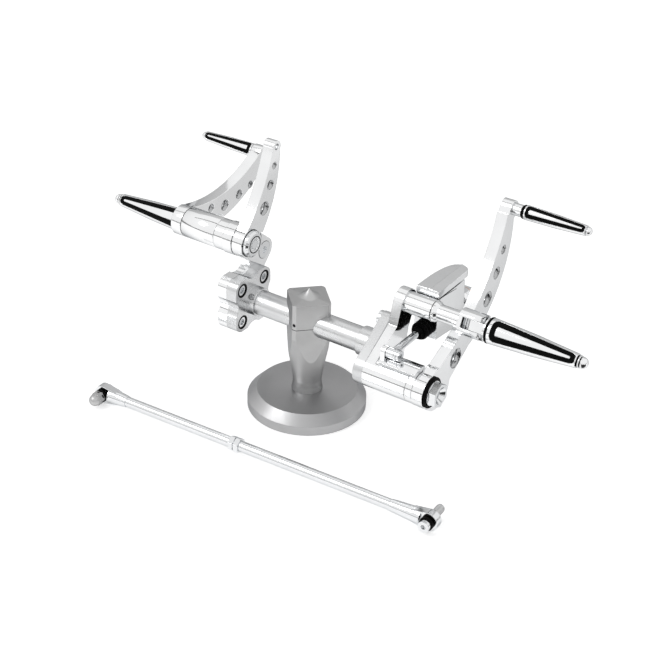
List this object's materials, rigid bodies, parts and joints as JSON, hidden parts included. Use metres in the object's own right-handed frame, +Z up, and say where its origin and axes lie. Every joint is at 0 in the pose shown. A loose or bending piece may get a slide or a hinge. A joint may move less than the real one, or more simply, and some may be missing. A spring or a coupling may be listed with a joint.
{
  "type": "motorcycle forward controls",
  "caption": "Forward control set on a display stand: shift lever and arm, brake lever with master cylinder, folding foot pegs and a loose shift rod.",
  "frame": {"origin": "centre of the underside of the stand's round base, on the surface it stands on", "axes": "+X along the cross bar from the shift side to the brake side, +Y to the front of the motorcycle, +Z up"},
  "size_m": [0.562, 0.2696, 0.2552],
  "materials": {
    "satin_steel": "satin",
    "satin_aluminium": "satin",
    "polished": "polished",
    "bright_steel": "polished",
    "black_screws": "black oxide",
    "rubber": "matte",
    "bronze": "satin",
    "copper": "satin"
  },
  "bodies": {
    "stand": {"base_disc": "satin_steel", "base_stud": "bright_steel", "stand_post": "satin_steel", "clamp_cap": "satin_steel", "clamp_studs": "bright_steel", "clamp_grub_screws": "black_screws", "cross_bar": "satin_aluminium", "bar_flange": "satin_aluminium", "bar_collar": "satin_aluminium", "collar_bolt": "black_screws", "flange_bolts": "bright_steel", "shift_bracket": "polished", "shift_bushes": "bronze", "left_peg_bolt": "bright_steel", "left_peg_post": "polished", "left_peg_pin": "bright_steel", "right_peg_bolt": "bright_steel", "right_peg_post": "polished", "right_peg_pin": "bright_steel", "brake_plate": "satin_aluminium", "brake_bracket": "polished", "bracket_bolts": "bright_steel", "brake_bushes": "bronze", "rod_boot": "rubber", "master_cylinder": "polished", "reservoir_cover": "polished", "cover_gasket": "rubber", "cover_screws": "black_screws", "fluid_union": "bright_steel", "union_washers": "copper", "link_tube": "bright_steel", "link_ends": "bright_steel", "link_nuts": "bright_steel"},
    "shift": {"shift_shaft": "bright_steel", "shift_arm": "polished", "shift_arm_cap": "bright_steel", "shift_lever": "polished", "shift_toe_peg": "polished", "shift_toe_rubbers": "rubber"},
    "brake": {"brake_shaft": "bright_steel", "brake_arm": "polished", "brake_lever": "polished", "brake_oring": "rubber", "brake_cap": "bright_steel", "brake_toe_peg": "polished", "brake_toe_rubbers": "rubber", "push_rod_pin": "bright_steel"},
    "plunger": {"push_rod": "bright_steel", "piston": "bright_steel"},
    "left_foot_peg": {"left_peg": "polished", "left_peg_inlays": "rubber", "left_peg_ring": "rubber"},
    "right_foot_peg": {"right_peg": "polished", "right_peg_inlays": "rubber", "right_peg_ring": "rubber"},
    "left_stud": {"link_stud_left": "bright_steel", "link_seal_left": "rubber", "link_acorn_nut": "bright_steel"},
    "right_stud": {"link_stud_right": "bright_steel", "link_seal_right": "rubber"}
  },
  "joints": [
    {"name": "shift_pivot", "type": "hinge", "parent": "stand", "child": "shift", "pos_m": [-0.09, -0.005, 0.162], "axis": [1, 0, 0], "range_deg": [-8, 8]},
    {"name": "brake_pivot", "type": "hinge", "parent": "stand", "child": "brake", "pos_m": [0.12, -0.0305, 0.0896], "axis": [1, 0, 0], "range_deg": [-12, 0], "stiffness_Nm_per_rad": 3, "springref_deg": 11.46},
    {"name": "push_rod_slide", "type": "slide", "parent": "stand", "child": "plunger", "axis": [0, 1, 0], "range_m": [0, 0.0062]},
    {"name": "left_peg_fold", "type": "hinge", "parent": "stand", "child": "left_foot_peg", "pos_m": [-0.162, 0.0344, 0.1342], "axis": [0, 0.4067, 0.9135], "range_deg": [0, 75]},
    {"name": "right_peg_fold", "type": "hinge", "parent": "stand", "child": "right_foot_peg", "pos_m": [0.174, 0.0175, 0.1438], "axis": [0, 0.4067, 0.9135], "range_deg": [-90, 0]},
    {"name": "left_stud_swivel", "type": "hinge", "parent": "stand", "child": "left_stud", "pos_m": [-0.16421, -0.11879, 0.0095], "axis": [-0.0454, 0.999, 0], "range_deg": [-180, 180]},
    {"name": "right_stud_swivel", "type": "hinge", "parent": "stand", "child": "right_stud", "pos_m": [0.20541, -0.10201, 0.0095], "axis": [-0.0454, 0.999, 0], "range_deg": [-180, 180]}
  ],
  "couplings": [
    {"joint": "push_rod_slide", "follows": "brake_pivot", "m_per_rad": -0.0274}
  ]
}
